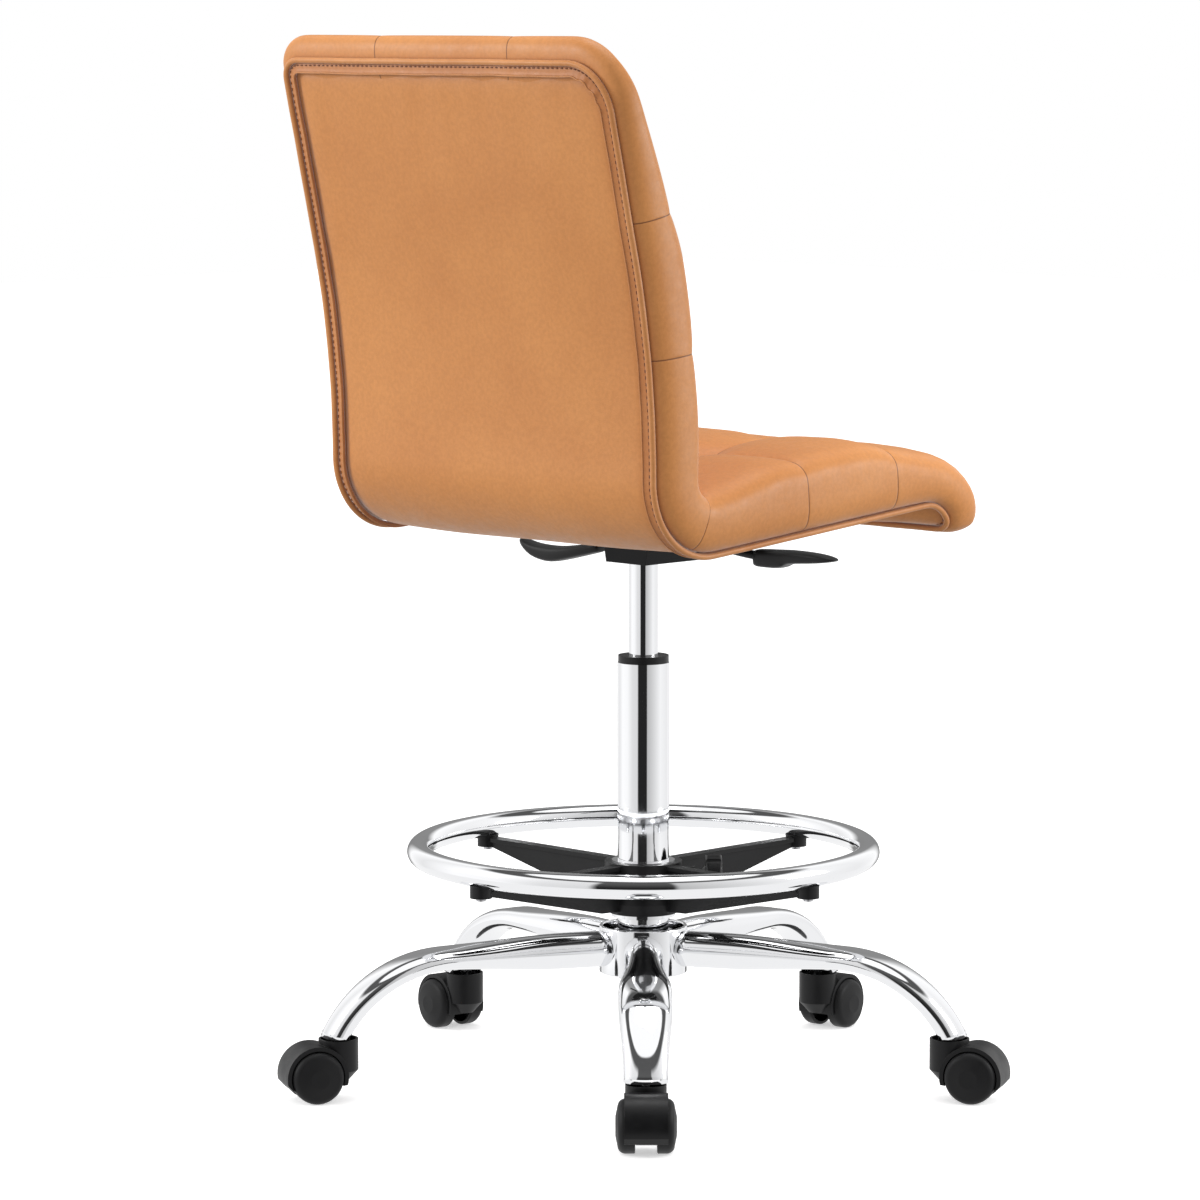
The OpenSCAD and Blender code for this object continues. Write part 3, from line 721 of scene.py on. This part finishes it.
# ---- Five-star base ----------------------------------------------------------------------------
LEG_START = 0.041
LEG_STATIONS = 44
LEG_SIDES = 40
CRUSHED_FROM = 0.12
CRUSHED_OVER = 0.11
DENT = 0.0022
DENT_AT = 0.212
FOOT_RING_STEPS = 288
FOOT_RING_SIDES = 40


def leg_half_width(s):
    return 0.019 + 0.006 * smooth((s - 0.110) / 0.120) - 0.0045 * smooth((s - 0.250) / 0.080)


def leg_half_height(s):
    return 0.0173 - 0.0063 * smooth((s - 0.080) / 0.130) + 0.0008 * smooth((s - 0.240) / 0.090)


def make_leg(index):
    end = LEG_STRAIGHT + LEG_ARC_R * LEG_ARC
    turn = FIRST_LEG + index * 2 * math.pi / LEG_COUNT
    rings = []
    for j in range(LEG_STATIONS + 1):
        s = LEG_START + (end - LEG_START) * j / LEG_STATIONS
        bent = max(0.0, s - LEG_STRAIGHT) / LEG_ARC_R
        out = min(s, LEG_STRAIGHT) + LEG_ARC_R * math.sin(bent)
        height = LEG_Z - LEG_ARC_R * (1 - math.cos(bent))
        crush = smooth((s - CRUSHED_FROM) / CRUSHED_OVER)
        dent = DENT * math.exp(-((s - DENT_AT) / 0.022) ** 2)
        ring = []
        for i in range(LEG_SIDES):
            a = 2 * math.pi * i / LEG_SIDES
            power = 1.0 - 0.12 * crush
            w = leg_half_width(s) * math.copysign(abs(math.cos(a)) ** power, math.cos(a))
            h = leg_half_height(s) * math.copysign(abs(math.sin(a)) ** power, math.sin(a))
            h -= dent * max(0.0, math.sin(a)) * math.exp(-(w / 0.011) ** 2)
            r = out + h * math.sin(bent)
            z = height + h * math.cos(bent)
            if j == 0:
                r = math.sqrt(max(0.0, (HUB_R - 0.0004) ** 2 - w * w))
            if j == LEG_STATIONS:
                r, z = r + (z - LEG_CUT) / math.tan(LEG_ARC), LEG_CUT
            x = r * math.cos(turn) - w * math.sin(turn)
            y = r * math.sin(turn) + w * math.cos(turn)
            ring.append((x, y, z))
        rings.append(ring)
    # The open end: the wall turns in and runs a little way up inside
    for shrink, up in ((0.93, 0.0), (0.90, 0.004)):
        tip = rings[LEG_STATIONS]
        middle = sum((Vector(p) for p in tip), Vector()) / LEG_SIDES
        rings.append([tuple(middle + (Vector(p) - middle) * shrink + Vector((0, 0, up))) for p in tip])
    piece = tube_piece(f"base_leg_{index + 1}", rings, CHROME)
    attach(piece, "base")
    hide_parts(f"leg_{index + 1}")


def make_hub():
    low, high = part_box("base_hub")
    inner = HUB_R - 0.0035
    wall = rounded([(inner, low.z), (HUB_R, low.z), (HUB_R, high.z), (inner, high.z)], 0.0015)
    cup = lathe("base_cup", wall, CHROME, 160)
    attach(cup, "base")
    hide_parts("base_hub")


def make_foot_ring():
    tube = circle(RING_R, RING_Z, RING_TUBE_R, FOOT_RING_SIDES)
    ring = lathe("chrome_foot_ring", tube, CHROME, FOOT_RING_STEPS)
    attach(ring, "foot_ring")
    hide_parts("foot_ring")


# ---- Lever handles -----------------------------------------------------------------------------
def superellipse(sides, power):
    out = []
    for i in range(sides):
        a = 2 * math.pi * i / sides
        out.append((math.copysign(abs(math.cos(a)) ** power, math.cos(a)),
                    math.copysign(abs(math.sin(a)) ** power, math.sin(a))))
    return out


# Each grip along X: distance from the middle, top and bottom height, half width, all in millimetres
LIFT_GRIP = (
    (108, 521.5, 506.5, 8), (110, 522.5, 505.3, 9.4), (125, 523, 505.3, 10), (141, 523.8, 505.6, 10),
    (147, 524, 508.5, 10), (151, 524.2, 511, 10), (168, 524, 512.3, 10.5), (186, 523.3, 513.8, 10),
    (200, 521.6, 515.6, 8.5), (207, 520, 517, 6), (209.5, 519, 518, 3))
LOCK_GRIP = (
    (101, 513, 504.5, 6), (103, 513, 503.2, 8.5), (120, 510.5, 499.2, 10), (140, 507.5, 494.5, 10.5),
    (156, 505.5, 490.8, 11), (168, 505, 488.8, 11), (181, 505.2, 489.7, 10.5), (195, 506, 492.8, 10),
    (205, 508, 499.4, 9), (211, 509.5, 504.5, 7), (214, 509.5, 507.5, 3.5))
# Each rod along X: distance from the middle and height of its centre line
LIFT_ROD = ((22, 521), (45, 520.8), (62, 520), (78, 518.2), (94, 516.4), (110, 515.5), (128, 515))
LOCK_ROD = ((22, 521), (45, 520.2), (62, 519), (80, 516.8), (98, 513.5), (112, 510), (126, 506))
ROD_R = 4.3
LEVER_Y = -45


def make_lever(name, side, grip, rod, grip_node, rod_node):
    """A bent rod with a moulded grip that runs out into a thin paddle."""
    section = superellipse(20, 0.55)
    rings = []
    for x, top, bottom, half in grip:
        middle, rise = (top + bottom) / 2, (top - bottom) / 2
        rings.append([Vector((side * x, LEVER_Y + half * a, middle + rise * b)) / 1000 for a, b in section])
    handle = tube_piece(name + "_grip", rings, NYLON, levels=1)
    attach(handle, name)
    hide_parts(grip_node)
    rings = []
    for x, z in rod:
        rings.append([Vector((side * x, LEVER_Y + ROD_R * a, z + ROD_R * b)) / 1000
                      for a, b in superellipse(20, 1.0)])
    bar = tube_piece(name + "_rod", rings, BLACK_STEEL, levels=1)
    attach(bar, name)
    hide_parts(rod_node)


# ---- CAD nodes that keep their shape -----------------------------------------------------------
FINISH = {
    "chrome": CHROME, "steel": STEEL, "black_metal": BLACK_STEEL, "black_plastic": NYLON,
    "wheel_plastic": WHEEL, "button_brass": BRASS, "bump_rubber": RUBBER, "plywood": PLY,
    "upholstery": TAN, "leather": TAN,
}


def finish_nodes():
    for part in frame["record"]["subparts"]:
        piece = frame["nodes"][part["node"]]
        for held in piece.material_slots:
            held.material = FINISH[part["material_slot"]]
    frame["nodes"]["seat_shell"].visible_glossy = False


# ---- Stage, light and camera -------------------------------------------------------------------
FLOOR_REACH = 12.0
FLOOR_GLOW = 0.50


def make_stage():
    corners = [(-FLOOR_REACH, -FLOOR_REACH, 0), (FLOOR_REACH, -FLOOR_REACH, 0),
               (FLOOR_REACH, FLOOR_REACH, 0), (-FLOOR_REACH, FLOOR_REACH, 0)]
    paint = bpy.data.materials.new("pale_floor")
    paint.use_nodes = True
    sockets = paint.node_tree.nodes["Principled BSDF"].inputs
    sockets["Base Color"].default_value = (0.93, 0.93, 0.93, 1)
    sockets["Roughness"].default_value = 0.9
    sockets["Emission Color"].default_value = (1, 1, 1, 1)
    sockets["Emission Strength"].default_value = FLOOR_GLOW
    floor = mesh_piece("floor", corners, [(0, 1, 2, 3)], paint)
    floor.visible_diffuse = False
    floor.visible_glossy = False


def area_light(name, place_at, aim, size, power, height=None):
    data = bpy.data.lights.new(name, "AREA")
    data.shape = "RECTANGLE"
    data.size = size
    data.size_y = height or size
    data.energy = power
    lamp = bpy.data.objects.new(name, data)
    bpy.context.scene.collection.objects.link(lamp)
    lamp.location = place_at
    lamp.rotation_mode = "QUATERNION"
    lamp.rotation_quaternion = (Vector(aim) - Vector(place_at)).to_track_quat("-Z", "Y")


# The studio as the chrome sees it: brightness by azimuth in degrees, with a dark gap at the camera
WALLS = ((0, 0.9), (30, 1.15), (60, 1.1), (85, 0.85), (108, 0.8), (112, 0.02), (149, 0.02), (152, 0.55),
         (185, 0.8), (215, 1.05), (262, 0.95), (290, 1.1), (302, 0.25), (328, 0.25), (340, 1.1), (360, 0.9))
# and by the sine of the elevation: walls, a dark gap, and a softbox overhead
WALL_SHARE = ((0.0, 1.0), (0.70, 1.0), (0.76, 0.0), (1.0, 0.0))
CEILING = ((0.0, 0.0), (0.76, 0.10), (0.86, 0.10), (0.875, 1.15), (1.0, 1.15))
# A white floor below the walls, by the sine of the depression
FLOOR_SHARE = ((0.0, 0.0), (0.24, 0.0), (0.30, 1.0), (1.0, 1.0))
# The light that falls on everything else, by azimuth
FILL = ((0, 0.45), (50, 0.80), (95, 0.80), (125, 0.62), (160, 0.40), (200, 0.36), (260, 0.40), (310, 0.42),
        (360, 0.45))
FILL_ABOVE = 1.1
FILL_BELOW = 0.28
FULL = 1.5


def make_world():
    world = bpy.data.worlds.new("studio")
    bpy.context.scene.world = world
    world.use_nodes = True
    tree = world.node_tree
    out = tree.nodes["Background"]

    def maths(kind, *values):
        node = tree.nodes.new("ShaderNodeMath")
        node.operation = kind
        for i, value in enumerate(values):
            if hasattr(value, "is_output"):
                tree.links.new(value, node.inputs[i])
            else:
                node.inputs[i].default_value = value
        return node.outputs[0]

    def curve(source, stops, span=1.0):
        node = tree.nodes.new("ShaderNodeValToRGB")
        tree.links.new(source, node.inputs["Fac"])
        points = node.color_ramp.elements
        points.remove(points[-1])
        for i, (where, level) in enumerate(stops):
            point = points[0] if i == 0 else points.new(where / span)
            point.position = where / span
            point.color = (level / FULL, level / FULL, level / FULL, 1)
        return maths("MULTIPLY", node.outputs["Color"], FULL)

    def mixed(share, a, b):
        return maths("ADD", maths("MULTIPLY", maths("SUBTRACT", 1.0, share), a), maths("MULTIPLY", share, b))

    coords = tree.nodes.new("ShaderNodeTexCoord")
    split = tree.nodes.new("ShaderNodeSeparateXYZ")
    tree.links.new(coords.outputs["Generated"], split.inputs[0])
    angle = maths("ARCTAN2", split.outputs["Y"], split.outputs["X"])
    turn = maths("FRACT", maths("ADD", maths("DIVIDE", angle, 2 * math.pi), 1.0))
    up = maths("MAXIMUM", split.outputs["Z"], 0.0)
    down = maths("MAXIMUM", maths("MULTIPLY", split.outputs["Z"], -1.0), 0.0)
    walls = maths("MULTIPLY", curve(turn, WALLS, 360), curve(up, WALL_SHARE))
    studio = mixed(curve(down, FLOOR_SHARE), maths("ADD", walls, curve(up, CEILING)), 1.0)
    fill = mixed(down, mixed(up, curve(turn, FILL, 360), FILL_ABOVE), FILL_BELOW)
    path = tree.nodes.new("ShaderNodeLightPath")
    lit = mixed(path.outputs["Is Glossy Ray"], fill, studio)
    tree.links.new(mixed(path.outputs["Is Camera Ray"], lit, 1.0), out.inputs["Strength"])
    out.inputs["Color"].default_value = (1, 1, 1, 1)


def make_camera():
    data = bpy.data.cameras.new("camera")
    data.lens = LENS_MM
    data.sensor_width = 36.0
    data.clip_end = 100.0
    camera = bpy.data.objects.new("camera", data)
    bpy.context.scene.collection.objects.link(camera)
    camera.location = EYE
    camera.rotation_mode = "QUATERNION"
    camera.rotation_quaternion = (TARGET - EYE).to_track_quat("-Z", "Y")
    bpy.context.scene.camera = camera


bpy.context.scene.view_settings.view_transform = "Standard"
make_camera()
make_world()
make_stage()
area_light("key", (1.7, 2.2, 1.5), (0.1, 0.2, 0.8), 0.9, 30)
area_light("top", (0.1, -0.3, 2.8), (0, 0, 0.6), 1.4, 17)
area_light("side", (-1.2, -0.9, 0.85), (-0.1, -0.15, 0.58), 0.7, 10)
finish_nodes()
make_pad()
make_panel()
make_edges()
for leg in range(LEG_COUNT):
    make_leg(leg)
make_hub()
make_foot_ring()
make_lever("lift_lever", -1, LIFT_GRIP, LIFT_ROD, "lift_handle", "lift_lever")
make_lever("lock_lever", 1, LOCK_GRIP, LOCK_ROD, "lock_handle", "lock_lever")
